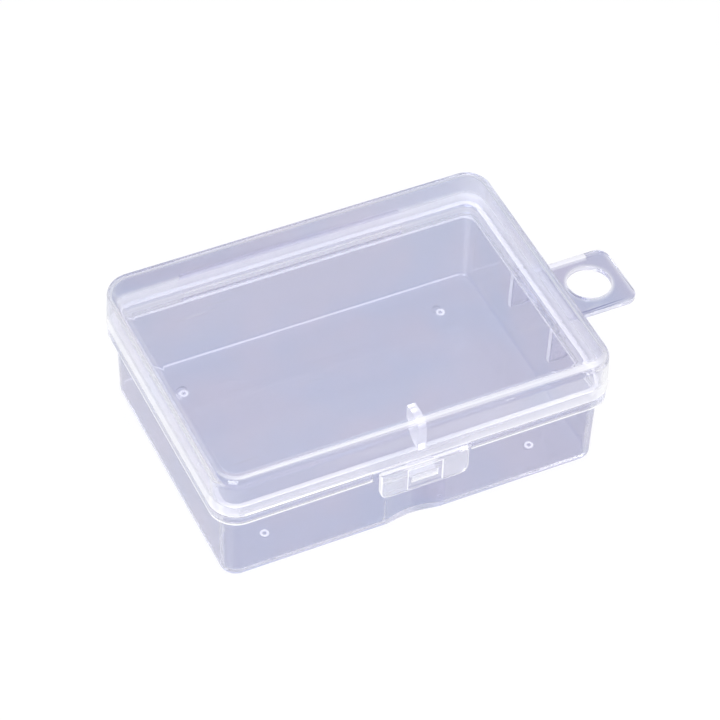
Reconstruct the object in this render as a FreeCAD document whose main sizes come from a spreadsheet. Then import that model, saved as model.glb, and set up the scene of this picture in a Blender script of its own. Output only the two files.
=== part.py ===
"""A small storage box with a hinged lid and a snap latch, moulded in clear polypropylene.

Millimetres. +X runs along the long side towards the hang tab, +Y is the hinge side, -Y the latch
side, and +Z is up. The origin is the middle of the tray's underside.
"""
import FreeCAD, Part
import math
import os
import re

import Sketcher
from FreeCAD import Vector

SIZES = {
    # The lid: a shallow shell whose skirt sits on the tray's ledge.
    "lid_length": 92.0,
    "lid_width": 67.0,
    "lid_height": 10.55,
    "lid_wall": 1.2,
    "lid_corner": 6.2,
    "lid_draft": 2.3,
    "lid_edge_round": 2.6,
    # The tray: a drafted tub with a ledge under the lid's skirt and a rim inside it.
    "parting_height": 21.3,
    "seat_gap": 0.15,
    "rim_height": 1.7,
    "rim_clearance": 0.75,
    "tray_wall": 1.2,
    "tray_floor": 1.2,
    "tray_corner": 3.6,
    "tray_draft": 1.2,
    "tray_edge_round": 1.5,
    "tray_floor_round": 0.8,
    "ledge_thickness": 2.6,
    "ledge_setback": 0.15,
    "edge_ease": 0.3,
    # The hollow for a fingertip below the latch, and the round ejector marks in the underside.
    "scoop_width": 14.0,
    "scoop_depth": 1.5,
    "scoop_headroom": 3.9,
    "mark_diameter": 2.1,
    "mark_depth": 0.3,
    "mark_inset_long": 12.3,
    "mark_inset_wide": 8.8,
    # The hang tab and the two plates beside its root.
    "tab_reach": 19.0,
    "tab_width": 17.4,
    "tab_thickness": 1.25,
    "tab_corner": 3.0,
    "tab_flare": 2.2,
    "tab_hole": 10.0,
    "tab_hole_margin": 8.1,
    "gusset_offset": 0.6,
    "gusset_thickness": 1.0,
    "gusset_reach": 4.2,
    "gusset_drop": 9.6,
    "gusset_corner": 1.0,
    # The lid's hinge: a leaf on each shell and a thin film that folds.
    "hinge_width": 52.8,
    "hinge_reach": 1.7,
    "hinge_leaf": 1.7,
    "hinge_film": 0.25,
    "hinge_grip": 0.9,
    "hinge_bead": 0.3,
    # The latch: a flap on a film under the skirt, with a slot that takes the tray's catch.
    "flap_width": 20.4,
    "flap_length": 7.1,
    "flap_thickness": 1.2,
    "flap_gap": 0.2,
    "flap_corner": 2.0,
    "notch_gap": 1.2,
    "latch_film": 0.25,
    "latch_film_grip": 0.8,
    "latch_groove_width": 0.3,
    "latch_groove_radius": 0.2,
    "recess_border": 0.85,
    "recess_depth": 0.3,
    "recess_margin": 0.7,
    "slot_clearance": 0.3,
    "slot_headroom": 0.5,
    "catch_width": 5.6,
    "catch_drop": 2.3,
    "catch_rise": 2.1,
    "catch_nose": 0.6,
    "catch_setback": 0.2,
    # The rib that keeps the middle of the lid's front wall over the rim.
    "rib_thickness": 1.9,
    "rib_depth": 5.2,
    "rib_gap": 0.4,
    "rib_toe": 0.8,
}

# Heights.
LEDGE_BOTTOM = "(parting_height - ledge_thickness)"
RIM_TOP = "(parting_height + rim_height)"
LID_BOTTOM = "(parting_height + seat_gap)"
LID_TOP = f"({LID_BOTTOM} + lid_height)"
LID_CEILING = f"({LID_TOP} - lid_wall)"
HINGE_LEVEL = "(parting_height + seat_gap / 2)"
FLAP_TOP = f"({LID_BOTTOM} - latch_film)"
FLAP_BOTTOM = f"({FLAP_TOP} - flap_length)"
CATCH_BOTTOM = f"({LEDGE_BOTTOM} - catch_drop)"
CATCH_TOP = f"({CATCH_BOTTOM} + catch_rise)"

# Distances from the middle, each at the height where its drafted wall starts. The tray is as wide as
# its rim may be inside the lid.
LID_X = "(lid_length / 2)"
LID_Y = "(lid_width / 2)"
LID_INNER_Y = f"({LID_Y} - lid_wall)"
LID_INNER_ROUND = "(lid_edge_round - lid_wall)"
RIM_DRAFT = f"(({RIM_TOP} - {LID_BOTTOM}) * tan(lid_draft * 1 deg) + {RIM_TOP} * tan(tray_draft * 1 deg))"
TRAY_INSET = f"(lid_wall + rim_clearance + {RIM_DRAFT})"
TRAY_X = f"({LID_X} - {TRAY_INSET})"
TRAY_Y = f"({LID_Y} - {TRAY_INSET})"
LEDGE_X = f"({LID_X} - ledge_setback)"
LEDGE_Y = f"({LID_Y} - ledge_setback)"
TAB_END = f"({LID_X} + tab_reach)"
HINGE_BACK = f"({LID_Y} + hinge_reach)"
FLAP_BACK = f"({LID_Y} + flap_gap)"
FLAP_FRONT = f"({FLAP_BACK} + flap_thickness)"
SCOOP_RADIUS = "((scoop_width ^ 2 / 4 + scoop_depth ^ 2) / (2 * scoop_depth))"

X, Y, Z = range(3)
TOUCH = 1e-4  # how near two places are that count as one

document = FreeCAD.newDocument("storage_box")
sheet = document.addObject("Spreadsheet::Sheet", "Sizes")
for row, (alias, size) in enumerate(SIZES.items(), start=1):
    sheet.set(f"A{row}", alias)
    sheet.set(f"B{row}", str(size))
    sheet.setAlias(f"B{row}", alias)
document.recompute()


def bound(words):
    """An expression on the sheet's cells, from one that uses the sizes' plain names."""
    return re.sub(r"[a-z_]+", lambda word: f"Sizes.{word[0]}" if word[0] in SIZES else word[0], words)


def value(words):
    """What such an expression comes to now."""
    return float(sheet.evalExpression(bound(words)))


def tray_side(half, height):
    """Where the tray's drafted wall stands at a height, from its half size at the underside."""
    return f"({half} + {height} * tan(tray_draft * 1 deg))"


def lid_side(half, height):
    """Where a drafted wall of the lid stands at a height, from its half size at the skirt's edge."""
    return f"({half} - ({height} - {LID_BOTTOM}) * tan(lid_draft * 1 deg))"


def rectangle(left, right, low, high):
    """The four corners of a rectangle, as expressions."""
    return [(left, low), (right, low), (right, high), (left, high)]


def blank_sketch(body, name, plane, level):
    """An empty sketch on one of the body's planes, moved to a level along the plane's normal."""
    drawn = body.newObject("Sketcher::SketchObject", name)
    support = next(feature for feature in body.Origin.OriginFeatures if feature.Role == plane)
    drawn.AttachmentSupport = (support, [""])
    drawn.MapMode = "FlatFace"
    drawn.setExpression("AttachmentOffset.Base.z", bound(level))
    return drawn


def dimension(drawn, name, kind, words, *where):
    """A named dimension of a sketch, bound to the sheet."""
    index = drawn.addConstraint(Sketcher.Constraint(kind, *where, value(words)))
    drawn.renameConstraint(index, name)
    drawn.setExpression(f"Constraints.{name}", bound(words))


def arc_between(start, end, radius, side):
    """The short arc between two points, with its centre to the left (1) or right (-1) of the way there."""
    chord = end - start
    middle = (start + end) / 2
    square = Vector(-chord.y, chord.x, 0).normalize() * side
    centre = middle + square * math.sqrt(radius**2 - (chord.Length / 2) ** 2)
    return Part.Arc(start, centre - square * radius, end)


def outline(body, name, plane, level, corners, arcs=None):
    """A closed sketch through corners given as expressions.

    arcs holds, by the number of the corner that an arc leaves, its radius and the side of its centre.
    """
    arcs = arcs or {}
    drawn = blank_sketch(body, name, plane, level)
    points = [Vector(value(across), value(along), 0) for across, along in corners]
    ends = []
    for number, start in enumerate(points):
        end = points[(number + 1) % len(points)]
        if number in arcs:
            radius, side = arcs[number]
            drawn.addGeometry(arc_between(start, end, value(radius), side))
            ends.append((1, 2) if side > 0 else (2, 1))
        else:
            drawn.addGeometry(Part.LineSegment(start, end))
            ends.append((1, 2))
    for number, (first, last) in enumerate(ends):
        after = (number + 1) % len(ends)
        drawn.addConstraint(Sketcher.Constraint("Coincident", number, last, after, ends[after][0]))
        across, along = corners[number]
        dimension(drawn, f"across{number}", "DistanceX", across, number, first)
        dimension(drawn, f"along{number}", "DistanceY", along, number, first)
    for number, (radius, side) in arcs.items():
        dimension(drawn, f"radius{number}", "Radius", radius, number)
    return drawn


def extrude(body, kind, profile, length):
    """Pads or pockets a sketch of the body to a length."""
    made = body.newObject(f"PartDesign::{kind}", f"{profile.Name}_{kind.lower()}")
    made.Profile = profile
    made.setExpression("Length", bound(length))
    document.recompute()


def prism(name, plane, level, corners, length, arcs=None):
    """A body that starts as one outline, extruded along its plane's normal."""
    body = document.addObject("PartDesign::Body", name)
    extrude(body, "Pad", outline(body, f"{name}_outline", plane, level, corners, arcs), length)
    return body


def lies_at(edge, axis, place):
    """True for an edge that lies all at one place along an axis."""
    box = edge.BoundBox
    low, high = ((box.XMin, box.XMax), (box.YMin, box.YMax), (box.ZMin, box.ZMax))[axis]
    return abs(low - place) < TOUCH and abs(high - place) < TOUCH


def stands_up(edge):
    """True for an edge that runs along Z."""
    return edge.BoundBox.XLength < TOUCH and edge.BoundBox.YLength < TOUCH


def ease(body, name, radius, chosen):
    """Rounds those edges of the body's solid that chosen accepts."""
    tip = body.Tip
    made = body.newObject("PartDesign::Fillet", f"{body.Name}_{name}")
    made.Base = (tip, [f"Edge{n}" for n, edge in enumerate(tip.Shape.Edges, start=1) if chosen(edge)])
    made.setExpression("Radius", bound(radius))
    document.recompute()


def lean_walls(body, angle, outward):
    """Drafts the walls of an upright block about its lower face."""
    tip = body.Tip
    up = {f"Face{n}": face.normalAt(0, 0).z for n, face in enumerate(tip.Shape.Faces, start=1)}
    made = body.newObject("PartDesign::Draft", f"{body.Name}_draft")
    made.Base = (tip, [face for face, rise in up.items() if abs(rise) < TOUCH])
    made.NeutralPlane = (tip, [face for face, rise in up.items() if rise < TOUCH - 1])
    made.Reversed = outward
    made.setExpression("Angle", bound(angle))
    document.recompute()


def tub(name, half_long, half_wide, low, high, corner, draft, outward):
    """An upright block with rounded corners and drafted walls."""
    corners = rectangle(f"-{half_long}", half_long, f"-{half_wide}", half_wide)
    body = prism(name, "XY_Plane", low, corners, f"{high} - {low}")
    ease(body, "corners", corner, stands_up)
    lean_walls(body, draft, outward)
    return body


def upright_bar(name, radius, across, along, low, high):
    """A round bar that stands along Z."""
    made = document.addObject("Part::Cylinder", name)
    made.setExpression("Radius", bound(radius))
    made.setExpression("Height", bound(f"{high} - {low}"))
    for axis, words in zip("xyz", (across, along, low)):
        made.setExpression(f"Placement.Base.{axis}", bound(words))
    return made


def cut(name, base, tool):
    """One solid less another."""
    made = document.addObject("Part::Cut", name)
    made.Base = base
    made.Tool = tool
    document.recompute()
    return made


def fuse(name, solids):
    """Several solids as one."""
    made = document.addObject("Part::MultiFuse", name)
    made.Shapes = solids
    made.Refine = True
    document.recompute()
    return made


def ledge_plate():
    """The flange that carries the lid's skirt, notched at the front for the latch flap."""
    notch = "(flap_width / 2 + notch_gap)"
    corners = [
        (f"-{LEDGE_X}", f"-{LEDGE_Y}"),
        (f"-{notch}", f"-{LEDGE_Y}"),
        (f"-{notch}", f"-{TRAY_Y}"),
        (notch, f"-{TRAY_Y}"),
        (notch, f"-{LEDGE_Y}"),
        (LEDGE_X, f"-{LEDGE_Y}"),
        (LEDGE_X, LEDGE_Y),
        (f"-{LEDGE_X}", LEDGE_Y),
    ]
    body = prism("ledge_plate", "XY_Plane", LEDGE_BOTTOM, corners, "ledge_thickness")
    far = value(LEDGE_X)
    ease(body, "corners", "lid_corner - ledge_setback",
         lambda edge: stands_up(edge) and abs(abs(edge.CenterOfMass.x) - far) < TOUCH)
    low, high = value(LEDGE_BOTTOM), value("parting_height")
    ease(body, "rims", "edge_ease", lambda edge: lies_at(edge, Z, low) or lies_at(edge, Z, high))
    return body


def tray_cavity():
    """What the tray holds: its inside, less the swelling behind the fingertip hollow."""
    inner_x = f"({tray_side(TRAY_X, 'tray_floor')} - tray_wall)"
    inner_y = f"({tray_side(TRAY_Y, 'tray_floor')} - tray_wall)"
    above = f"({RIM_TOP} + tray_wall)"
    corner = "tray_corner - tray_wall"
    body = tub("tray_inside", inner_x, inner_y, "tray_floor", above, corner, "tray_draft", True)
    floor = value("tray_floor")
    ease(body, "floor_edge", "tray_floor_round", lambda edge: lies_at(edge, Z, floor))
    return cut("tray_cavity", body, scoop_bar("scoop_swelling", "tray_wall"))


def scoop_bar(name, skin):
    """The round bar whose side is the fingertip hollow in the tray's front, grown by a skin."""
    axis = f"-({TRAY_Y} + {SCOOP_RADIUS} - scoop_depth)"
    top = f"({LEDGE_BOTTOM} - scoop_headroom + {skin})"
    return upright_bar(name, f"{SCOOP_RADIUS} + {skin}", "0", axis, "-tray_floor", top)


def ejector_marks():
    """Round bars that leave the four marks of the ejector pins in the tray's underside."""
    bars = []
    for side_x in (-1, 1):
        for side_y in (-1, 1):
            across = f"{side_x} * ({TRAY_X} - mark_inset_long)"
            along = f"{side_y} * ({TRAY_Y} - mark_inset_wide)"
            name = f"ejector_mark_{len(bars) + 1}"
            bars.append(upright_bar(name, "mark_diameter / 2", across, along, "-tray_floor", "mark_depth"))
    return bars


def base_tray():
    """The tub: drafted walls, floor, ledge and rim, with the fingertip hollow and the ejector marks."""
    outside = tub("tray_outside", TRAY_X, TRAY_Y, "0", RIM_TOP, "tray_corner", "tray_draft", True)
    ease(outside, "foot", "tray_edge_round", lambda edge: lies_at(edge, Z, 0))
    shell = cut("tray_shell", fuse("tray_block", [outside, ledge_plate()]), tray_cavity())
    hollows = fuse("tray_hollows", [scoop_bar("scoop_hollow", "0"), *ejector_marks()])
    tray = cut("tray_hollowed", shell, hollows)
    rim, radius = value(RIM_TOP), value("edge_ease")
    made = document.addObject("Part::Fillet", "base_tray")
    made.Base = tray
    edges = enumerate(tray.Shape.Edges, start=1)
    made.Edges = [(number, radius, radius) for number, edge in edges if lies_at(edge, Z, rim)]
    document.recompute()
    return made


def hang_tab():
    """The flat tab with a round hole that hangs the box on a display hook."""
    half = "(tab_width / 2)"
    corners = [
        (LEDGE_X, f"-({half} + tab_flare)"),
        (f"({LEDGE_X} + tab_flare)", f"-{half}"),
        (TAB_END, f"-{half}"),
        (TAB_END, half),
        (f"({LEDGE_X} + tab_flare)", half),
        (LEDGE_X, f"({half} + tab_flare)"),
    ]
    body = prism("hang_tab", "XY_Plane", LEDGE_BOTTOM, corners, "tab_thickness")
    far, root = value(TAB_END), value(LEDGE_X)
    ease(body, "corners", "tab_corner", lambda edge: stands_up(edge) and lies_at(edge, X, far))
    ease(body, "rims", "edge_ease", lambda edge: not stands_up(edge) and not lies_at(edge, X, root))
    hole = blank_sketch(body, "tab_hole", "XY_Plane", f"{LEDGE_BOTTOM} + tab_thickness")
    place = f"{TAB_END} - tab_hole_margin"
    hole.addGeometry(Part.Circle(Vector(value(place), 0, 0), Vector(0, 0, 1), value("tab_hole / 2")))
    hole.addConstraint(Sketcher.Constraint("PointOnObject", 0, 3, -1))
    dimension(hole, "place", "DistanceX", place, 0, 3)
    dimension(hole, "radius", "Radius", "tab_hole / 2", 0)
    extrude(body, "Pocket", hole, "tab_thickness")
    return body


def gusset(name, side):
    """An upright plate between the tray's wall and the root of the tab, in front (1) or behind (-1)."""
    low = f"({LEDGE_BOTTOM} - gusset_drop)"
    end = f"({tray_side(TRAY_X, LEDGE_BOTTOM)} + gusset_reach)"
    corners = [
        (tray_side(TRAY_X, low), low),
        (end, low),
        (end, LEDGE_BOTTOM),
        (tray_side(TRAY_X, LEDGE_BOTTOM), LEDGE_BOTTOM),
    ]
    level = f"{side} * (tab_width / 2 + gusset_offset) - gusset_thickness / 2"
    body = prism(name, "XZ_Plane", level, corners, "gusset_thickness")
    far, foot = value(end), value(low)
    ease(body, "corner", "gusset_corner", lambda edge: lies_at(edge, X, far) and lies_at(edge, Z, foot))
    return body


def latch_catch():
    """The wedge on the tray's front wall that the flap's slot snaps over."""
    nose = f"-({FLAP_FRONT} - recess_depth - catch_setback)"
    corners = [
        (f"-{tray_side(TRAY_Y, CATCH_BOTTOM)}", CATCH_BOTTOM),
        (f"-{tray_side(TRAY_Y, CATCH_TOP)}", CATCH_TOP),
        (nose, f"({CATCH_BOTTOM} + catch_nose)"),
        (nose, CATCH_BOTTOM),
    ]
    return prism("latch_catch", "YZ_Plane", "-catch_width / 2", corners, "catch_width")


def tray_hinge_leaf():
    """The strip behind the ledge that the hinge film is rooted in."""
    low = "(parting_height - hinge_leaf)"
    corners = rectangle(LEDGE_Y, HINGE_BACK, low, "parting_height")
    body = prism("tray_hinge_leaf", "YZ_Plane", "-hinge_width / 2", corners, "hinge_width")
    back, foot = value(HINGE_BACK), value(low)
    ease(body, "edge", "edge_ease", lambda edge: lies_at(edge, Y, back) and lies_at(edge, Z, foot))
    return body


def lid_hinge_leaf():
    """The strip behind the lid's skirt that the hinge film is rooted in."""
    high = f"({LID_BOTTOM} + hinge_leaf)"
    corners = [
        (lid_side(LID_Y, LID_BOTTOM), LID_BOTTOM),
        (HINGE_BACK, LID_BOTTOM),
        (HINGE_BACK, high),
        (lid_side(LID_Y, high), high),
    ]
    body = prism("lid_hinge_leaf", "YZ_Plane", "-hinge_width / 2", corners, "hinge_width")
    back, top = value(HINGE_BACK), value(high)
    ease(body, "edge", "edge_ease", lambda edge: lies_at(edge, Y, back) and lies_at(edge, Z, top))
    return body


def hinge_film():
    """The thin film behind the two leaves, with a round bead along its fold."""
    back = f"({HINGE_BACK} + hinge_film)"
    bead = "sqrt(hinge_bead ^ 2 - hinge_film ^ 2 / 4)"
    corners = [
        (HINGE_BACK, f"({HINGE_LEVEL} - hinge_grip)"),
        (back, f"({HINGE_LEVEL} - hinge_grip)"),
        (back, f"({HINGE_LEVEL} - {bead})"),
        (back, f"({HINGE_LEVEL} + {bead})"),
        (back, f"({HINGE_LEVEL} + hinge_grip)"),
        (HINGE_BACK, f"({HINGE_LEVEL} + hinge_grip)"),
    ]
    return prism("hinge_film", "YZ_Plane", "-hinge_width / 2", corners, "hinge_width", {2: ("hinge_bead", 1)})


def lid_shell():
    """The lid: a drafted shell, open below, with a rounded top edge."""
    outside = tub("lid_outside", LID_X, LID_Y, LID_BOTTOM, LID_TOP, "lid_corner", "lid_draft", False)
    skirt, top, ceiling = value(LID_BOTTOM), value(LID_TOP), value(LID_CEILING)
    ease(outside, "top_edge", "lid_edge_round", lambda edge: lies_at(edge, Z, top))
    ease(outside, "skirt_edge", "edge_ease", lambda edge: lies_at(edge, Z, skirt))
    inner_x, corner = f"({LID_X} - lid_wall)", "lid_corner - lid_wall"
    inside = tub("lid_inside", inner_x, LID_INNER_Y, LID_BOTTOM, LID_CEILING, corner, "lid_draft", False)
    ease(inside, "top_edge", LID_INNER_ROUND, lambda edge: lies_at(edge, Z, ceiling))
    return cut("lid_shell", outside, inside)


def lid_locating_rib():
    """The rib behind the middle of the lid's front wall, which stops just above the tray's rim."""
    low = f"({RIM_TOP} + rib_gap)"
    front = f"-{lid_side(LID_INNER_Y, LID_CEILING)}"
    back = f"({front} + rib_depth)"
    corners = [
        (f"-{lid_side(LID_INNER_Y, low)}", low),
        (back, low),
        (back, LID_CEILING),
        (front, LID_CEILING),
    ]
    body = prism("lid_locating_rib", "YZ_Plane", "-rib_thickness / 2", corners, "rib_thickness")
    root, top = value(front), value(LID_CEILING)
    ease(body, "root", LID_INNER_ROUND, lambda edge: lies_at(edge, Y, root) and lies_at(edge, Z, top))
    tail, foot = value(back), value(low)
    ease(body, "foot", "rib_depth - rib_toe", lambda edge: lies_at(edge, Y, tail) and lies_at(edge, Z, foot))
    return body


def latch_film():
    """The thin film under the lid's skirt that the flap swings on, grooved along its fold."""
    root = f"-({LID_Y} - latch_film_grip)"
    fold = f"({LID_Y} + flap_gap / 2)"
    corners = [
        (f"-{FLAP_FRONT}", FLAP_TOP),
        (root, FLAP_TOP),
        (root, LID_BOTTOM),
        (f"-({fold} - latch_groove_width / 2)", LID_BOTTOM),
        (f"-({fold} + latch_groove_width / 2)", LID_BOTTOM),
        (f"-{FLAP_FRONT}", LID_BOTTOM),
    ]
    groove = {3: ("latch_groove_radius", -1)}
    return prism("latch_film", "YZ_Plane", "-flap_width / 2", corners, "flap_width", groove)


def latch_flap():
    """The flap under the lid's front edge, recessed in the middle and slotted there for the catch."""
    half = "(flap_width / 2)"
    corners = rectangle(f"-{half}", half, FLAP_BOTTOM, FLAP_TOP)
    body = prism("latch_flap", "XZ_Plane", FLAP_BACK, corners, "flap_thickness")
    foot, head, front = value(FLAP_BOTTOM), value(FLAP_TOP), value(f"-{FLAP_FRONT}")
    ease(body, "corners", "flap_corner",
         lambda edge: lies_at(edge, Z, foot) and edge.BoundBox.XLength < TOUCH)
    ease(body, "rim", "edge_ease", lambda edge: lies_at(edge, Y, front) and not lies_at(edge, Z, head))
    slot = "(catch_width / 2 + slot_clearance)"
    slot_top = f"({CATCH_TOP} - slot_headroom)"
    recess = f"({slot} + recess_border)"
    recess_low, recess_top = f"({FLAP_BOTTOM} + recess_margin)", f"({FLAP_TOP} - recess_margin)"
    for name, side, low, high, depth in (
        ("flap_recess", recess, recess_low, recess_top, "recess_depth"),
        ("flap_slot", slot, f"({CATCH_BOTTOM} - slot_clearance)", slot_top, "flap_thickness"),
    ):
        corners = rectangle(f"-{side}", side, low, high)
        extrude(body, "Pocket", outline(body, name, "XZ_Plane", FLAP_FRONT, corners), depth)
    return body


subparts = [
    base_tray(),
    hang_tab(),
    gusset("front_gusset", 1),
    gusset("rear_gusset", -1),
    latch_catch(),
    tray_hinge_leaf(),
    hinge_film(),
    lid_shell(),
    lid_locating_rib(),
    lid_hinge_leaf(),
    latch_film(),
    latch_flap(),
]
document.recompute()

for made in document.Objects:
    if {"Invalid", "Error"} & set(made.State):
        raise RuntimeError(f"{made.Label} failed: {made.State}")
for made in subparts:
    if made.Shape.isNull() or not made.Shape.isValid() or len(made.Shape.Solids) != 1:
        raise RuntimeError(f"{made.Label} is not one sound solid")

os.makedirs("parts", exist_ok=True)
for made in subparts:
    made.Shape.exportStep(f"parts/{made.Label}.step")
    print(f"{made.Label}: {made.Shape.Volume:.2f} mm3")
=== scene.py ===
"""Looks of a small clear storage box with a hanging tab, moulded in polypropylene."""
import math

import bmesh
import bpy
from mathutils import Matrix, Vector


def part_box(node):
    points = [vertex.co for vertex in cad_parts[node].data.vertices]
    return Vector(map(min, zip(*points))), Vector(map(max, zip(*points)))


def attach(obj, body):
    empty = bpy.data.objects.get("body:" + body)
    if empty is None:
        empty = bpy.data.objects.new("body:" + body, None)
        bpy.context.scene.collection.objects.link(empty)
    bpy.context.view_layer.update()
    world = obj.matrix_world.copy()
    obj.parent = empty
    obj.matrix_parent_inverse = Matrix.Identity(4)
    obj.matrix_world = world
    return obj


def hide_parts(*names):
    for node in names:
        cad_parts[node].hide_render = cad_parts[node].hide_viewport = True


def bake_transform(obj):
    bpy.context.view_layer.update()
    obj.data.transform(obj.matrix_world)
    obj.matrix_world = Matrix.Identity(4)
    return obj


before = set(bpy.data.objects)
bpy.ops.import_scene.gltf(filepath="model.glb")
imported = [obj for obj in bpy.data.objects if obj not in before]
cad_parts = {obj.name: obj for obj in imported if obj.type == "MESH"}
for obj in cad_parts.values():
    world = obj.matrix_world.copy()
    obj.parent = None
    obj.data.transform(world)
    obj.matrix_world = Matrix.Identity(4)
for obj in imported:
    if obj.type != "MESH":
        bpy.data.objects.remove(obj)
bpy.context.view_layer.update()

MM = 0.001
X, Y, Z = range(3)


def node_box(node):
    """The lowest and the highest corner of a CAD node, in millimetres to the micron."""
    return [[round(value / MM, 3) for value in corner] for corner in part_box(node)]


# The solids that are one piece of plastic on the real box.
TRAY_SOLIDS = ("base_tray", "hang_tab", "front_gusset", "rear_gusset", "latch_catch", "tray_hinge_leaf")
LID_SOLIDS = ("lid_shell", "lid_locating_rib", "lid_hinge_leaf")
GUSSETS = ("front_gusset", "rear_gusset")

tab_low, tab_high = node_box("hang_tab")
gusset_low, gusset_high = node_box("rear_gusset")
_, leaf_high = node_box("tray_hinge_leaf")
lid_low, lid_high = node_box("lid_shell")
flap_low, flap_high = node_box("latch_flap")

# Where the tray's paint changes, in millimetres. The ledge runs round the tray under its rim, and the right
# wall is all that lies beyond RIGHT_WALL. A sink is the white mark where a gusset stands behind the wall.
LEDGE_BOTTOM = tab_low[Z]
LEDGE_FOOT = LEDGE_BOTTOM - 0.05
LEDGE_LINE = LEDGE_BOTTOM + 0.6
LEDGE_TOP = leaf_high[Z]
FLOOR_TOP = 1.2
FOOT_TOP = 1.6
RIGHT_WALL = 41.0
GUSSET_Y = (gusset_low[Y] + gusset_high[Y]) / 2
GUSSET_FOOT = gusset_low[Z]
SINK_HALF = 0.6
SCOOP_HALF = 7.0

# Where the tab's paint changes: at its outline and hole, at its root, and along its back edge, where a
# painted reflection lies.
TAB_END = tab_high[X]
TAB_HALF = 8.7
TAB_FLARE_END = 48.1
HOLE_X = 56.9
HOLE_RADIUS = 5.0
RIM_GLOW = 0.8
TAB_HIDDEN = 49.6
TAB_SHOWN = 50.6
TAB_BACK_END = 60.0
TAB_BACK_FOOT = 6.8
TAB_BACK_LINE = 7.2

# Where the lid's paint changes: up its skirt and round its top edge.
SKIRT_LINE = lid_low[Z] + 0.35
SKIRT_BAND = lid_low[Z] + 2.55
SKIRT_FADE = lid_low[Z] + 3.75
LID_ROUND_FOOT = lid_high[Z] - 2.7
LID_HALF = lid_high[X]
RIB_SCALE = 0.99

# Where the flap's paint changes: at its outline and round its recess.
FLAP_HALF = flap_high[X]
FLAP_FOOT = flap_low[Z]
FLAP_FRONT = flap_low[Y]
FLAP_BEHIND = FLAP_FRONT + 0.1
FLAP_CORNER = 2.0
FLAP_RIM = 0.33
RECESS_HALF = 3.95
RECESS_FOOT = 14.8
RECESS_TOP = 20.5

# The low rings that the mould's four pins leave on the floor.
RING_X = 31.4
RING_FRONT = -22.45
RING_BACK = 20.65
RING_RADIUS = 0.75
RING_HALF_WIDTH = 0.28
RING_HEIGHT = 0.12
RING_STEPS_AROUND = 24
RING_STEPS_ACROSS = 8

# A paint is the plastic's milk and its cast. Milk is the share of light that it scatters as white, and in
# places painted highlights and reflections. Cast is the depth of its violet tint, from 0 for colourless to 1
# for the tab, and in places painted shade.
CLEAR_MILK = 0.03
LID_CLEAR_MILK = 0.02
RING_PAINT = (0.9, 0.0)
TRAY_ROOT_PAINT = (0.35, 0.0)
LID_ROOT_PAINT = (0.4, 0.0)
FILM_PAINT = (0.15, 0.0)
GUSSET_EDGE = (0.5, 0.0)
GUSSET_FACE = (0.1, 0.0)
SINK_PAINT = (0.75, 0.0)
LEDGE_LINE_INSIDE = (0.9, 0.0)
LEDGE_LINE_OUTSIDE = (0.6, 0.0)
# The tray's round foot is painted milky violet, as painted shade along its edge.
FOOT_PAINT = (0.93, 1.0)
# The tray's front right corner is painted milky violet, as painted shade.
RIGHT_POST_SHADE = (0.53, 1.0)
TAB_EDGE = (0.1, 0.9)
# The tab's front side faces carry a painted highlight.
TAB_FRONT_HIGHLIGHT = (0.35, 0.3)
RIB_EDGE = (0.5, 0.0)
RIB_SIDE = (0.8, 0.0)
SKIRT_FOOT_PAINT = (0.6, 0.0)
FLAP_TOP = (0.2, 0.1)
FLAP_EDGE = (0.8, 0.0)
FLAP_BACK = (0.2, 0.15)
FLAP_FACE = (0.27, 0.1)
FLAP_OUTLINE = (0.92, 0.1)

# Casts and milk of the walls and what runs along them, each for the left, right, front and back. Where they
# differ from side to side, the milk of the lid's walls and edge, the rim and the floor's corners is partly
# painted highlight and reflection, and the casts are partly painted shade, lightest at the front.
TRAY_WALL_TINT_AND_SHADE = (0.68, 0.78, 0.42, 0.76)
LID_WALL_TINT_AND_SHADE = (0.5, 0.4, 0.4, 0.9)
LID_EDGE_TINT_AND_SHADE = (0.45, 0.9, 0.35, 1.0)
LID_WALL_SHEEN = (0.33, 0.15, 0.04, 0.04)
LID_EDGE_HIGHLIGHT = (0.2, 0.08, 0.6, 0.04)
SKIRT_MILK = (0.12, 0.45, 0.15, 0.3)
RIM_MILK_AND_HIGHLIGHT = (0.25, 0.5, 0.2, 0.5)
FLOOR_CORNER_HIGHLIGHT = (0.4, 0.02, 0.3, 0.8)

# Casts and milk of single places. A clearing is how much of the cast a white line takes away, and a share
# is how much of the wall's cast is left.
TAB_CAST = 1.0
FLOOR_CAST = 0.72
LID_TOP_CAST = 0.29
TAB_GLOW_MILK = 0.25
TAB_GLOW_CLEARING = 0.7
# A painted reflection along the tab's back edge.
TAB_BACK_SHEEN = 0.6
TAB_BACK_SHEEN_CLEARING = 0.8
TAB_ROOT_MILK = 0.3
RIM_SIDE_MILK = 0.12
RIM_SIDE_CAST = 0.35
LEDGE_MILK = 0.04
LEDGE_INSIDE_SHARE = 0.9
LEDGE_OUTSIDE_CAST = 0.3
# Painted shade in the right half of the fingertip hollow.
SCOOP_SHADE = 1.4
INNER_POST_MILK = 0.3
INNER_POST_CLEARING = 0.5
# The tray's front left corner is painted lighter, as a painted highlight.
LEFT_POST_HIGHLIGHT = 0.08
LEFT_POST_SHARE = 0.8
SKIRT_CLEARING = 0.8
# The lid's right front corner carries a painted highlight.
PALE_CORNER_HIGHLIGHT = 0.15
PALE_CORNER_CLEARING = 0.6

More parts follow.
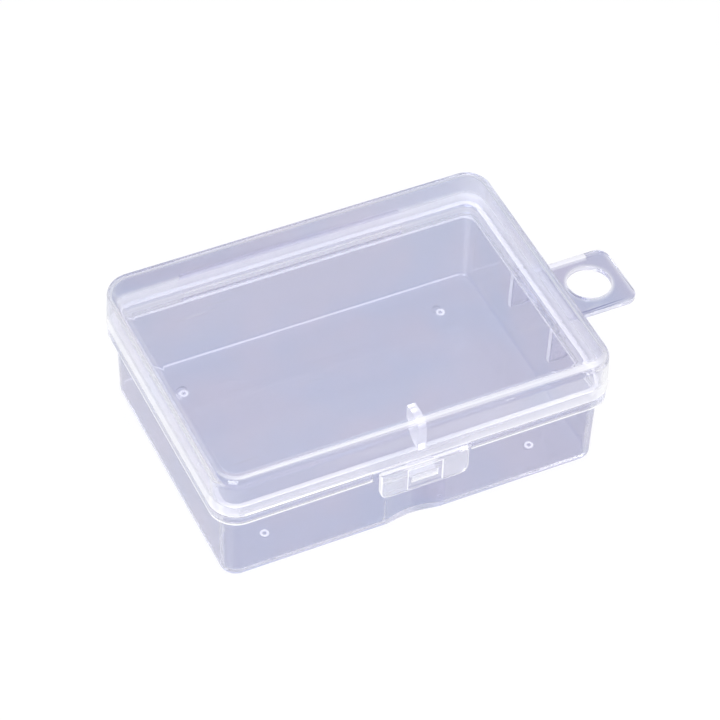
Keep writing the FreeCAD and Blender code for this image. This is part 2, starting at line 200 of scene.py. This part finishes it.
# How far a surface turns while its paint changes, as parts of its normal, in the order of ramp or bell.
WALL_TO_LEVEL = (0.3, 0.9)
RIM_TURN = (0.2, 0.6)
FOOT_TURN = (0.005, 0.02, 0.9, 0.99)
FLOOR_CORNER_TURN = (0.4, 0.55, 0.75, 0.9)
INNER_POST_TURN = (0.4, 0.48, 0.52, 0.6)
INNER_POST_FADE = (0.9, 0.6)
OUTER_POST_TURN = (0.15, 0.4, 0.6, 0.85)
TAB_FRONT_TURN = (-0.3, -0.7)
PALE_CORNER_TURN = (0.0, -0.5)
LID_TOP_TURN = (0.9, 1.0)
LID_BAND_TOP = (0.9, 0.97)
LID_BAND_LEFT = 0.85
LID_BAND_RIGHT = 0.6
LID_BAND_FADE = 0.08

# The least part of a normal along an axis for a surface to count as facing that way.
FACING_UP = 0.02
MOSTLY_FACING = 0.5
TAB_FLAT = 0.7
FLAP_FLAT = 0.8
SQUARELY_FACING = 0.9
LEVEL = 0.999
FLUSH = 0.9999

# Edges that turn more than this stay crisp. The fingertip hollow's edges turn less, so they stay soft.
MOULDING_CREASE = math.radians(26)
FILM_CREASE = math.radians(40)

# Points closer than this are one point. A part of a normal smaller than LEAST_TURN counts as none.
SAME_POINT = 1e-4 * MM
LEAST_TURN = 1e-6

# The camera that took the photograph, worked out from the box's own edges. Lengths are in millimetres.
CAMERA_AZIMUTH = math.radians(-26.60)
CAMERA_ELEVATION = math.radians(46.11)
CAMERA_ROLL = math.radians(2.15)
CAMERA_DISTANCE = 705.54
CAMERA_RIGHT = 1.06
CAMERA_UP = 13.13
CAMERA_LENS = 160.85
CAMERA_SENSOR = 36.0
CAMERA_NEAREST = 10.0


def linear(hex_colour):
    """An sRGB hex colour as the linear colour that a shader takes."""
    parts = [int(hex_colour[i:i + 2], 16) / 255 for i in (1, 3, 5)]
    return [p / 12.92 if p <= 0.04045 else ((p + 0.055) / 1.055) ** 2.4 for p in parts] + [1.0]


def add(tree, kind, options=None, sockets=None):
    """Adds a shader node, sets its options, and sets or links its input sockets."""
    node = tree.nodes.new("ShaderNode" + kind)
    for name, value in (options or {}).items():
        setattr(node, name, value)
    for socket, value in (sockets or {}).items():
        if isinstance(value, bpy.types.NodeSocket):
            tree.links.new(value, node.inputs[socket])
        else:
            node.inputs[socket].default_value = value
    return node


def seen_as_white(tree):
    """1 for rays from the eye, from a reflection or through clear plastic, and 0 for others."""
    rays = add(tree, "LightPath")
    direct = add(tree, "Math", {"operation": "MAXIMUM"},
                 {0: rays.outputs["Is Camera Ray"], 1: rays.outputs["Is Glossy Ray"]})
    seen = add(tree, "Math", {"operation": "MAXIMUM"},
               {0: direct.outputs[0], 1: rays.outputs["Is Transmission Ray"]})
    return seen.outputs[0]


# Polypropylene, injection moulded without pigment: it shows the eye clear panels with a cool violet cast,
# faint clouds where the melt flowed, a gentle swell in the skin, and white where it is thick or turns. That
# white is partly the plastic's haze and partly painted highlight, and the cast's depth is partly painted
# shade.
# Pattern sizes are in millimetres. Scuffs are finer on the real box, and are this wide so that they show.
NO_TINT = "#fcfcfe"
VIOLET_TINT = "#b1b7d2"
CLOUD_TINT = "#bbb9d0"
SHADOW_TINT = "#f6f6fb"
REFRACTION = 1.49
GLOSS_ROUGHNESS = 0.05
CLOUD_SIZE = 22.0
CLOUD_DETAIL = 2.0
CLOUD_RANGE = (0.4, 0.6)
SWELL_SIZE = 14.0
SWELL_DETAIL = 1.0
SWELL_HEIGHT = 0.05
SWELL_STRENGTH = 0.15
SCUFF_SIZE = 0.9
SCUFF_DETAIL = 1.0
SCUFF_RANGE = (0.66, 0.8)
SCUFF_MILK = 0.1
SCUFF_TURN = (0.0, 0.0, 0.5)
SCUFF_STRETCH = (0.06, 1.0, 1.0)


def polypropylene(name):
    """The box's plastic. How milky and how violet it is comes from the paint on the mesh."""
    material = bpy.data.materials.new(name)
    material.use_nodes = True
    tree = material.node_tree
    shader = tree.nodes["Principled BSDF"]
    place = add(tree, "TexCoord").outputs["Object"]
    milk = add(tree, "Attribute", {"attribute_name": "milk"}).outputs["Fac"]
    cast = add(tree, "Attribute", {"attribute_name": "cast"}).outputs["Fac"]

    drift = add(tree, "TexNoise", None,
                {"Vector": place, "Scale": 1 / (CLOUD_SIZE * MM), "Detail": CLOUD_DETAIL})
    flow = add(tree, "MapRange", None,
               {"Value": drift.outputs[0], "From Min": CLOUD_RANGE[0], "From Max": CLOUD_RANGE[1]})
    tint = add(tree, "Mix", {"data_type": "RGBA"},
               {"Factor": flow.outputs[0], "A": linear(VIOLET_TINT), "B": linear(CLOUD_TINT)})
    colour = add(tree, "Mix", {"data_type": "RGBA"},
                 {"Factor": cast, "A": linear(NO_TINT), "B": tint.outputs["Result"]})

    # Milk and scuffs whiten the plastic where light meets it from outside, and not from within.
    along = add(tree, "Mapping", None, {"Vector": place, "Rotation": SCUFF_TURN, "Scale": SCUFF_STRETCH})
    scratch = add(tree, "TexNoise", None,
                  {"Vector": along.outputs[0], "Scale": 1 / (SCUFF_SIZE * MM), "Detail": SCUFF_DETAIL})
    scuff = add(tree, "MapRange", None, {"Value": scratch.outputs[0], "From Min": SCUFF_RANGE[0],
                                         "From Max": SCUFF_RANGE[1], "To Max": SCUFF_MILK})
    pale = add(tree, "Math", {"operation": "ADD", "use_clamp": True}, {0: milk, 1: scuff.outputs[0]})
    inside = add(tree, "NewGeometry").outputs["Backfacing"]
    see_through = add(tree, "MapRange", None, {"Value": pale.outputs[0], "To Min": 1.0, "To Max": inside})

    swell = add(tree, "TexNoise", None,
                {"Vector": place, "Scale": 1 / (SWELL_SIZE * MM), "Detail": SWELL_DETAIL})
    skin = add(tree, "Bump", None, {"Height": swell.outputs[0], "Strength": SWELL_STRENGTH,
                                    "Distance": SWELL_HEIGHT * MM})
    tree.links.new(colour.outputs["Result"], shader.inputs["Base Color"])
    tree.links.new(see_through.outputs[0], shader.inputs["Transmission Weight"])
    tree.links.new(skin.outputs[0], shader.inputs["Normal"])
    shader.inputs["IOR"].default_value = REFRACTION
    shader.inputs["Roughness"].default_value = GLOSS_ROUGHNESS

    # Lamps shine through the plastic, so its shadow is pale.
    lamplight = add(tree, "BsdfTransparent", None, {"Color": linear(SHADOW_TINT)})
    rays = add(tree, "LightPath")
    surface = add(tree, "MixShader", None,
                  {0: rays.outputs["Is Shadow Ray"], 1: shader.outputs[0], 2: lamplight.outputs[0]})
    tree.links.new(surface.outputs[0], tree.nodes["Material Output"].inputs["Surface"])
    return material


def between(start, end, share):
    """A value that lies the given share of the way from start to end."""
    return start + (end - start) * share


def between_paints(first, second, share):
    """A paint that lies the given share of the way from the first to the second."""
    return [between(start, end, share) for start, end in zip(first, second)]


def ramp(value, low, high):
    """0 at low, 1 at high, and straight between them."""
    return min(1.0, max(0.0, (value - low) / (high - low)))


def bell(value, foot, low, high, top):
    """0 outside foot and top, 1 from low to high, and straight between them."""
    return ramp(value, foot, low) * ramp(value, top, high)


def turn_of(normal):
    """How far a wall faces left or right: 1 there, 0 at the front and back, and between round a corner."""
    return abs(normal.x) / max(LEAST_TURN, abs(normal.x) + abs(normal.y))


def by_side(place, normal, values):
    """The value of the wall that a point is on, from left, right, front and back, blended round corners."""
    left, right, front, back = values
    turn = turn_of(normal)
    return turn * (left if place.x < 0 else right) + (1 - turn) * (front if place.y < 0 else back)


def tab_paint(place, centre, normal):
    """Paint of the tab: light gathers in its outline, in the rim of its hole and at its root, a painted
    highlight lies on its front side and a painted reflection along its back edge.
    """
    if abs(normal.z) < TAB_FLAT:
        # Side faces that face the front carry a painted highlight.
        return between_paints(TAB_EDGE, TAB_FRONT_HIGHLIGHT, ramp(normal.y, *TAB_FRONT_TURN))
    outline = TAB_HALF
    if place.x > TAB_FLARE_END:
        outline = min(TAB_END - place.x, TAB_HALF - abs(place.y))
    hole = math.hypot(place.x - HOLE_X, place.y) - HOLE_RADIUS
    glow = ramp(min(outline, hole), RIM_GLOW, 0.0)
    root = ramp(place.x, TAB_SHOWN, TAB_HIDDEN)
    # A painted reflection, whiter and clearer, along the tab's back edge.
    back = ramp(place.y, TAB_BACK_FOOT, TAB_BACK_LINE) if centre.x < TAB_BACK_END else 0.0
    milk = CLEAR_MILK + max(TAB_GLOW_MILK * glow, TAB_BACK_SHEEN * back, TAB_ROOT_MILK * root)
    return milk, TAB_CAST * (1 - max(TAB_GLOW_CLEARING * glow, TAB_BACK_SHEEN_CLEARING * back, root))


def rim_and_ledge_paint(place, centre, normal, inner, wall_cast):
    """Paint of the tray's rim and ledge: whiter on the rim's top, with a white line at the ledge's foot."""
    if centre.z > LEDGE_TOP:
        top = ramp(abs(normal.z), *RIM_TURN)
        # The rim's top faces up, so its side comes from where it lies. Its white is partly haze and partly a
        # painted highlight.
        return RIM_SIDE_MILK + by_side(place, place, RIM_MILK_AND_HIGHLIGHT) * top, RIM_SIDE_CAST * (1 - top)
    if centre.z > LEDGE_LINE:
        return LEDGE_MILK, (LEDGE_INSIDE_SHARE * wall_cast if inner else LEDGE_OUTSIDE_CAST)
    return LEDGE_LINE_INSIDE if inner else LEDGE_LINE_OUTSIDE


def tub_paint(place, centre, normal):
    """Paint of the tub: tinted walls, whiter lines along the ledge, rim, corners and gussets, painted
    highlights and shade that differ by side, and painted shade along the foot and in the fingertip hollow.
    """
    level = abs(normal.z)
    inner = place.x * normal.x + place.y * normal.y < 0
    wall_cast = by_side(place, normal, TRAY_WALL_TINT_AND_SHADE)
    if centre.z > LEDGE_FOOT:
        return rim_and_ledge_paint(place, centre, normal, inner, wall_cast)
    at_gusset = abs(abs(centre.y) - GUSSET_Y) < SINK_HALF and centre.z > GUSSET_FOOT
    if at_gusset and normal.x < -SQUARELY_FACING and centre.x > RIGHT_WALL:
        return SINK_PAINT
    cast = between(wall_cast, FLOOR_CAST, ramp(level, *WALL_TO_LEVEL))
    # Painted shade: the right half of the fingertip hollow is tinted deeper.
    if normal.y < -MOSTLY_FACING and 0 < centre.x < SCOOP_HALF and place.y < 0:
        cast *= SCOOP_SHADE
    panel = (CLEAR_MILK, cast)
    # Painted shade along the foot's round edge.
    if normal.z < 0 and centre.z < FOOT_TOP:
        return between_paints(panel, FOOT_PAINT, bell(level, *FOOT_TURN))
    if inner:
        post = bell(turn_of(normal), *INNER_POST_TURN) * ramp(level, *INNER_POST_FADE)
        # The line along the floor's corners is a painted highlight, strongest at the back.
        line = bell(level, *FLOOR_CORNER_TURN) * by_side(place, normal, FLOOR_CORNER_HIGHLIGHT)
        clearing = max(line, INNER_POST_CLEARING * post)
        return CLEAR_MILK + max(line, INNER_POST_MILK * post), cast * (1 - clearing)
    post = bell(turn_of(normal), *OUTER_POST_TURN) if place.y < 0 else 0.0
    # Painted shade on the front right corner, and a painted highlight on the front left corner.
    corner = RIGHT_POST_SHADE if place.x > 0 else (LEFT_POST_HIGHLIGHT, LEFT_POST_SHARE * cast)
    return between_paints(panel, corner, post)


def tray_paint(place, centre, normal, origin):
    """Paint of the tray and all that is moulded on it."""
    if origin == "hang_tab":
        return tab_paint(place, centre, normal)
    if origin == "floor_rings":
        return RING_PAINT
    if origin in GUSSETS:
        return GUSSET_EDGE if abs(normal.y) < MOSTLY_FACING else GUSSET_FACE
    if origin in ("latch_catch", "tray_hinge_leaf"):
        return TRAY_ROOT_PAINT
    return tub_paint(place, centre, normal)


def lid_edge_paint(place, normal):
    """Paint of the lid's top and its rounded edge, where a painted highlight band widens to the right, and
    painted shade deepens the back and right.
    """
    low = between(LID_BAND_LEFT, LID_BAND_RIGHT, ramp(place.x, -LID_HALF, LID_HALF))
    high, top = LID_BAND_TOP
    # The band is a painted highlight, and the deeper cast of the back and right edges is painted shade.
    band = by_side(place, normal, LID_EDGE_HIGHLIGHT) * bell(normal.z, low - LID_BAND_FADE, low, high, top)
    edge_cast = by_side(place, normal, LID_EDGE_TINT_AND_SHADE) * (1 - band)
    return LID_CLEAR_MILK + band, between(edge_cast, LID_TOP_CAST, ramp(normal.z, *LID_TOP_TURN))


def lid_paint(place, centre, normal, origin):
    """Paint of the lid: a clear top, a tinted skirt, and a whiter rounded edge, skirt foot and rib, with a
    painted highlight on the edge and right front corner and a painted reflection on the walls.
    """
    if origin == "lid_locating_rib":
        return RIB_EDGE if abs(normal.x) < MOSTLY_FACING else RIB_SIDE
    if origin == "lid_hinge_leaf":
        return LID_ROOT_PAINT
    if centre.z < SKIRT_LINE:
        return SKIRT_FOOT_PAINT
    if centre.z > LID_ROUND_FOOT and normal.z > FACING_UP:
        return lid_edge_paint(place, normal)
    flat = ramp(abs(normal.z), *WALL_TO_LEVEL)
    band = ramp(place.z, SKIRT_FADE, SKIRT_BAND)
    # A painted highlight on the front of the lid's right half.
    pale = ramp(place.x, 0.0, LID_HALF) * ramp(normal.y, *PALE_CORNER_TURN)
    # The walls' milk is a painted reflection, strongest on the left.
    wall_milk = by_side(place, normal, LID_WALL_SHEEN) * (1 - flat)
    milk = wall_milk + by_side(place, normal, SKIRT_MILK) * band + PALE_CORNER_HIGHLIGHT * pale
    clear_share = (1 - SKIRT_CLEARING * band) * (1 - PALE_CORNER_CLEARING * pale)
    wall_cast = by_side(place, normal, LID_WALL_TINT_AND_SHADE) * clear_share
    return LID_CLEAR_MILK + milk, between(wall_cast, LID_TOP_CAST, flat)


def flap_paint(place, centre, normal, origin):
    """Paint of the latch flap: pale faces, with a whiter outline and a whiter edge round its recess."""
    if normal.z > FLAP_FLAT:
        return FLAP_TOP
    if abs(normal.y) < FLAP_FLAT:
        return FLAP_EDGE
    if centre.y > FLAP_BEHIND:
        return FLAP_BACK
    side = max(0.0, FLAP_CORNER - FLAP_HALF + abs(place.x))
    foot = max(0.0, FLAP_CORNER + FLAP_FOOT - place.z)
    outline = FLAP_CORNER - math.hypot(side, foot)
    recess = max(abs(place.x) - RECESS_HALF, RECESS_FOOT - place.z, place.z - RECESS_TOP)
    return between_paints(FLAP_FACE, FLAP_OUTLINE, ramp(min(outline, recess), FLAP_RIM, 0.0))


def film_paint(place, centre, normal, origin):
    """Paint of a film, which is a little white all over, because it folds."""
    return FILM_PAINT


def paint(mesh, rule, origins):
    """Writes the plastic's paint at each face corner. An origin is the solid that a face came from."""
    milk = mesh.attributes.new("milk", "FLOAT", "CORNER")
    cast = mesh.attributes.new("cast", "FLOAT", "CORNER")
    for face, origin in zip(mesh.polygons, origins):
        centre = face.center / MM
        for corner in face.loop_indices:
            place = mesh.vertices[mesh.loops[corner].vertex_index].co / MM
            normal = mesh.corner_normals[corner].vector
            milk.data[corner].value, cast.data[corner].value = rule(place, centre, normal, origin)


def cut(work, axis, distance, faces):
    """Divides faces along a plane across an axis, so that the two sides can be painted apart."""
    edges = dict.fromkeys(edge for face in faces for edge in face.edges)
    points = dict.fromkeys(point for face in faces for point in face.verts)
    direction = Vector((0, 0, 0))
    direction[axis] = 1
    bmesh.ops.bisect_plane(work, geom=[*points, *edges, *faces], plane_co=direction * distance * MM,
                           plane_no=direction, dist=SAME_POINT)


def inset(work, faces, width):
    """Divides faces along a line inside their outline, at a width in millimetres."""
    bmesh.ops.inset_region(work, faces=faces, thickness=width * MM, use_even_offset=True, use_boundary=True)


def right_wall_inside(work):
    """The faces of the tray's right wall that look into the box."""
    wall = RIGHT_WALL * MM
    return [f for f in work.faces if f.normal.x < -SQUARELY_FACING and f.calc_center_median().x > wall]


def divide_tray(work):
    """Divides the tray along its ledge, and its right wall where the gussets stand behind it."""
    for height in (LEDGE_BOTTOM, LEDGE_LINE, LEDGE_TOP):
        cut(work, Z, height, list(work.faces))
    for y in (-GUSSET_Y, GUSSET_Y):
        for side in (-SINK_HALF, SINK_HALF):
            cut(work, Y, y + side, right_wall_inside(work))
    cut(work, Z, GUSSET_FOOT, right_wall_inside(work))


def divide_tab(work):
    """Divides the tab inside its outline, at its root and along its back edge."""
    inset(work, [f for f in work.faces if abs(f.normal.z) > LEVEL], RIM_GLOW)
    for x in (TAB_HIDDEN, TAB_SHOWN, TAB_BACK_END):
        cut(work, X, x, list(work.faces))
    for y in (TAB_BACK_FOOT, TAB_BACK_LINE):
        cut(work, Y, y, list(work.faces))


def divide_lid(work):
    """Divides the lid's skirt into its bands."""
    for height in (SKIRT_LINE, SKIRT_BAND, SKIRT_FADE):
        cut(work, Z, height, list(work.faces))


def shrink_rib(work):
    """Shrinks the rib a hair about its middle, so that it stands clear of the lid."""
    low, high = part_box("lid_locating_rib")
    middle = (low + high) / 2
    shrink = Matrix.Translation(middle) @ Matrix.Scale(RIB_SCALE, 4) @ Matrix.Translation(-middle)
    bmesh.ops.transform(work, matrix=shrink, verts=work.verts)


def divide_flap(work):
    """Divides the flap's front inside its outline and round its recess."""
    behind = FLAP_BEHIND * MM
    front = [f for f in work.faces if f.normal.y < -FLUSH and f.calc_center_median().y < behind]
    inset(work, front, FLAP_RIM)


# What is done to a solid's mesh before it is joined and painted.
changes = {"base_tray": divide_tray, "hang_tab": divide_tab, "lid_shell": divide_lid,
           "lid_locating_rib": shrink_rib, "latch_flap": divide_flap}


def plain_mesh(solid):
    """A new mesh of a CAD node with its doubled points joined, divided where its paint changes."""
    work = bmesh.new()
    work.from_mesh(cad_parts[solid].data)
    bmesh.ops.remove_doubles(work, verts=work.verts, dist=SAME_POINT)
    work.normal_update()
    if solid in changes:
        changes[solid](work)
    work.verts.index_update()
    points = [point.co[:] for point in work.verts]
    faces = [[point.index for point in face.verts] for face in work.faces]
    work.free()
    mesh = bpy.data.meshes.new(solid)
    mesh.from_pydata(points, [], faces)
    return mesh


def floor_rings():
    """Low rings on the tray's floor where the mould's four pins push it out."""
    work = bmesh.new()
    around, across = RING_STEPS_AROUND, RING_STEPS_ACROSS
    for y in (RING_FRONT, RING_BACK):
        for x in (-RING_X, RING_X):
            rows = []
            for i in range(around):
                turn = 2 * math.pi * i / around
                row = []
                for j in range(across):
                    tilt = 2 * math.pi * j / across
                    reach = RING_RADIUS + RING_HALF_WIDTH * math.cos(tilt)
                    height = FLOOR_TOP + RING_HEIGHT * math.sin(tilt)
                    point = Vector((x + reach * math.cos(turn), y + reach * math.sin(turn), height))
                    row.append(work.verts.new(point * MM))
                rows.append(row)
            for i in range(around):
                row, following = rows[i], rows[(i + 1) % around]
                for j in range(across):
                    k = (j + 1) % across
                    work.faces.new([row[j], following[j], following[k], row[k]])
    mesh = bpy.data.meshes.new("floor_rings")
    work.to_mesh(mesh)
    work.free()
    return mesh


def union(name, meshes):
    """Joins meshes into one skin, and lists which of them each of its faces came from."""
    pieces = []
    marks = {}
    for origin, mesh in meshes.items():
        mark = bpy.data.materials.new(f"mark_{origin}")
        marks[mark.name] = origin
        mesh.materials.append(mark)
        piece = bpy.data.objects.new(f"{name}_{origin}", mesh)
        bpy.context.scene.collection.objects.link(piece)
        pieces.append(piece)
    first = pieces[0]
    for piece in pieces[1:]:
        joint = first.modifiers.new(piece.name, "BOOLEAN")
        joint.operation = "UNION"
        joint.solver = "EXACT"
        joint.material_mode = "TRANSFER"
        joint.object = piece
    joined = first.evaluated_get(bpy.context.evaluated_depsgraph_get())
    skin = bpy.data.meshes.new_from_object(joined)
    for piece in pieces:
        bpy.data.objects.remove(piece)
    origins = [marks[skin.materials[face.material_index].name] for face in skin.polygons]
    return skin, origins


def one_moulding(name, solids, rule, body, details=(), apart=()):
    """Joins solids and small details that are one piece of plastic, so that no seam shows between them.

    A solid that stands apart is whiter than what it grows from, and a hair of air lets its whole skin show.
    """
    meshes = {solid: plain_mesh(solid) for solid in solids if solid not in apart}
    meshes.update({detail.name: detail for detail in details})
    mesh, origins = union(name, meshes)
    work = bmesh.new()
    work.from_mesh(mesh)
    for solid in apart:
        loose = plain_mesh(solid)
        work.from_mesh(loose)
        origins += [solid] * len(loose.polygons)
    work.to_mesh(mesh)
    work.free()
    mesh.materials.clear()
    for finish in dict.fromkeys(finishes[origin] for origin in origins):
        mesh.materials.append(finish)
    for face, origin in zip(mesh.polygons, origins):
        face.material_index = mesh.materials.find(finishes[origin].name)
    mesh.shade_smooth()
    mesh.set_sharp_from_angle(angle=MOULDING_CREASE)
    paint(mesh, rule, origins)
    moulding = bpy.data.objects.new(name, mesh)
    bpy.context.scene.collection.objects.link(moulding)
    even = moulding.modifiers.new("flat_panels", "WEIGHTED_NORMAL")
    even.keep_sharp = True
    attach(moulding, body)
    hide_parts(*solids)


def film(name, rows, half_length):
    """A thin strip of plastic along X that lies between two bodies.

    Each row is the strip's inner and outer point.
    """
    count = len(rows)
    ring = [pair[0] for pair in rows] + [pair[1] for pair in reversed(rows)]
    points = [(x * MM, y * MM, z * MM) for x in (-half_length, half_length) for y, z in ring]
    size = 2 * count
    sides = [(i, (i + 1) % size, (i + 1) % size + size, i + size) for i in range(size)]
    ends = [(i, i + 1, size - 2 - i, size - 1 - i) for i in range(count - 1)]
    caps = [tuple(reversed(end)) for end in ends] + [tuple(p + size for p in end) for end in ends]
    mesh = bpy.data.meshes.new(name)
    mesh.from_pydata(points, [], sides + caps)
    mesh.materials.append(milky)
    work = bmesh.new()
    work.from_mesh(mesh)
    bmesh.ops.recalc_face_normals(work, faces=work.faces)
    work.to_mesh(mesh)
    work.free()
    mesh.shade_smooth()
    mesh.set_sharp_from_angle(angle=FILM_CREASE)
    paint(mesh, film_paint, [name] * len(mesh.polygons))
    strip = bpy.data.objects.new(name, mesh)
    bpy.context.scene.collection.objects.link(strip)
    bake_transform(strip)
    return strip


# Both slots hold the same plastic. The solids in the second are milky by their paint.
clear = polypropylene("clear_polypropylene")
milky = polypropylene("milky_polypropylene")
finishes = {solid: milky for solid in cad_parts}
finishes.update(base_tray=clear, hang_tab=clear, lid_shell=clear, floor_rings=milky)

one_moulding("tray_moulding", TRAY_SOLIDS, tray_paint, "base", [floor_rings()])
one_moulding("lid_moulding", LID_SOLIDS, lid_paint, "lid", apart=["lid_locating_rib"])
one_moulding("latch_moulding", ("latch_flap",), flap_paint, "latch")

# The lid's hinge is a film behind the two leaves, which spans from one to the other.
# It is thickest in the middle, where a real hinge folds, and lies a hair off the leaves.
FILM_GAP = 0.005
HINGE_ROWS = 13
HINGE_THICKNESS = 0.105
HINGE_BEAD = 0.12
HINGE_BEAD_POWER = 4
HINGE_END_GAP = 0.2
HINGE_EDGE_GAP = 0.025
hinge_low, hinge_high = node_box("hinge_film")
hinge_half = hinge_high[X] - HINGE_END_GAP
hinge_foot = hinge_low[Z] + HINGE_EDGE_GAP
hinge_head = hinge_high[Z] - HINGE_EDGE_GAP
hinge_inner = hinge_low[Y] + FILM_GAP
hinge_rows = []
for i in range(HINGE_ROWS):
    share = i / (HINGE_ROWS - 1)
    z = between(hinge_foot, hinge_head, share)
    bead = HINGE_BEAD * math.sin(math.pi * share) ** HINGE_BEAD_POWER
    hinge_rows.append(((hinge_inner, z), (hinge_inner + HINGE_THICKNESS + bead, z)))
hinge_strip = film("hinge_strip", hinge_rows, hinge_half)
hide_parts("hinge_film")

# The latch hangs from the lid by a film that lies between the lid's foot and the top of the flap.
LATCH_ROWS = 12
LATCH_END_GAP = 0.3
LATCH_BACK_GAP = 0.1
LATCH_FRONT_GAP = 0.2
LATCH_TOP_GAP = 0.055
latch_low, latch_high = node_box("latch_film")
latch_half = latch_high[X] - LATCH_END_GAP
latch_back = latch_high[Y] - LATCH_BACK_GAP
latch_front = latch_low[Y] + LATCH_FRONT_GAP
latch_under = latch_low[Z] + FILM_GAP
latch_over = latch_high[Z] - LATCH_TOP_GAP
latch_rows = []
for i in range(LATCH_ROWS):
    y = between(latch_back, latch_front, i / (LATCH_ROWS - 1))
    latch_rows.append(((y, latch_under), (y, latch_over)))
latch_strip = film("latch_strip", latch_rows, latch_half)
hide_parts("latch_film")

# Matt white paper: it stays white to the eye and keeps part of the box's shadow. It lies just under the box.
PAPER_WHITE = "#fdfdfd"
PURE_WHITE = "#ffffff"
FLOOR_HALF = 3.0
FLOOR_DROP = 0.2 * MM
PAPER_GLOW = 0.7
floor = bpy.data.objects.new("floor", bpy.data.meshes.new("floor"))
corners = [(-1, -1), (1, -1), (1, 1), (-1, 1)]
floor_points = [(x * FLOOR_HALF, y * FLOOR_HALF, -FLOOR_DROP) for x, y in corners]
floor.data.from_pydata(floor_points, [], [(0, 1, 2, 3)])
bpy.context.scene.collection.objects.link(floor)
paper = bpy.data.materials.new("white_paper")
paper.use_nodes = True
paper_tree = paper.node_tree
paper_tree.nodes.remove(paper_tree.nodes["Principled BSDF"])
share = add(paper_tree, "Math", {"operation": "MULTIPLY"}, {0: seen_as_white(paper_tree), 1: PAPER_GLOW})
matt = add(paper_tree, "BsdfDiffuse", None, {"Color": linear(PAPER_WHITE)})
glow = add(paper_tree, "Emission", None, {"Color": linear(PURE_WHITE), "Strength": 1.0})
mixed = add(paper_tree, "MixShader", None, {0: share.outputs[0], 1: matt.outputs[0], 2: glow.outputs[0]})
paper_tree.links.new(mixed.outputs[0], paper_tree.nodes["Material Output"].inputs["Surface"])
floor.data.materials.append(paper)

# Soft white studio light: a surround that clear plastic sees as white, and two soft boxes.
# Powers are in watts, and places in metres.
SURROUND_LIGHT = 0.6
SOFT_BOX_WIDTH = 0.5
OVERHEAD_POWER = 1.2
OVERHEAD_PLACE = (0.1, 0.1, 0.65)
FRONT_POWER = 4.2
FRONT_PLACE = (-0.42, -0.55, 0.42)
BOX_MIDDLE = (0, 0, 0.016)
world = bpy.data.worlds.new("studio")
bpy.context.scene.world = world
world.use_nodes = True
world_tree = world.node_tree
surround = add(world_tree, "MapRange", None,
               {"Value": seen_as_white(world_tree), "To Min": SURROUND_LIGHT, "To Max": 1.0})
world_tree.nodes["Background"].inputs["Color"].default_value = linear(PURE_WHITE)
world_tree.links.new(surround.outputs[0], world_tree.nodes["Background"].inputs["Strength"])


def soft_box(name, power, place):
    """A square studio lamp, turned to the middle of the box."""
    lamp = bpy.data.lights.new(name, "AREA")
    lamp.shape = "SQUARE"
    lamp.size = SOFT_BOX_WIDTH
    lamp.energy = power
    lamp_object = bpy.data.objects.new(name, lamp)
    lamp_object.location = place
    lamp_object.rotation_euler = (Vector(place) - Vector(BOX_MIDDLE)).to_track_quat("Z", "Y").to_euler()
    bpy.context.scene.collection.objects.link(lamp_object)


soft_box("overhead_soft_box", OVERHEAD_POWER, OVERHEAD_PLACE)
soft_box("front_soft_box", FRONT_POWER, FRONT_PLACE)

camera = bpy.data.cameras.new("camera")
camera.lens = CAMERA_LENS
camera.sensor_width = CAMERA_SENSOR
camera.clip_start = CAMERA_NEAREST * MM
camera_object = bpy.data.objects.new("camera", camera)
back = Vector((math.sin(CAMERA_AZIMUTH) * math.cos(CAMERA_ELEVATION),
               -math.cos(CAMERA_AZIMUTH) * math.cos(CAMERA_ELEVATION), math.sin(CAMERA_ELEVATION)))
aside = Vector((math.cos(CAMERA_AZIMUTH), math.sin(CAMERA_AZIMUTH), 0))
above = back.cross(aside)
right = aside * math.cos(CAMERA_ROLL) + above * math.sin(CAMERA_ROLL)
up = above * math.cos(CAMERA_ROLL) - aside * math.sin(CAMERA_ROLL)
spot = (back * CAMERA_DISTANCE + aside * CAMERA_RIGHT + above * CAMERA_UP) * MM
camera_object.matrix_world = Matrix((
    (right.x, up.x, back.x, spot.x),
    (right.y, up.y, back.y, spot.y),
    (right.z, up.z, back.z, spot.z),
    (0, 0, 0, 1),
))
bpy.context.scene.collection.objects.link(camera_object)
bpy.context.scene.camera = camera_object

bpy.context.scene.view_settings.view_transform = "Standard"

# Light runs a long way inside clear plastic, so its chains of inner reflections aren't cut short.
INNER_REFLECTIONS = 200
bpy.context.scene.cycles.max_bounces = INNER_REFLECTIONS
bpy.context.scene.cycles.glossy_bounces = INNER_REFLECTIONS
bpy.context.scene.cycles.transmission_bounces = INNER_REFLECTIONS
bpy.context.scene.cycles.transparent_max_bounces = INNER_REFLECTIONS
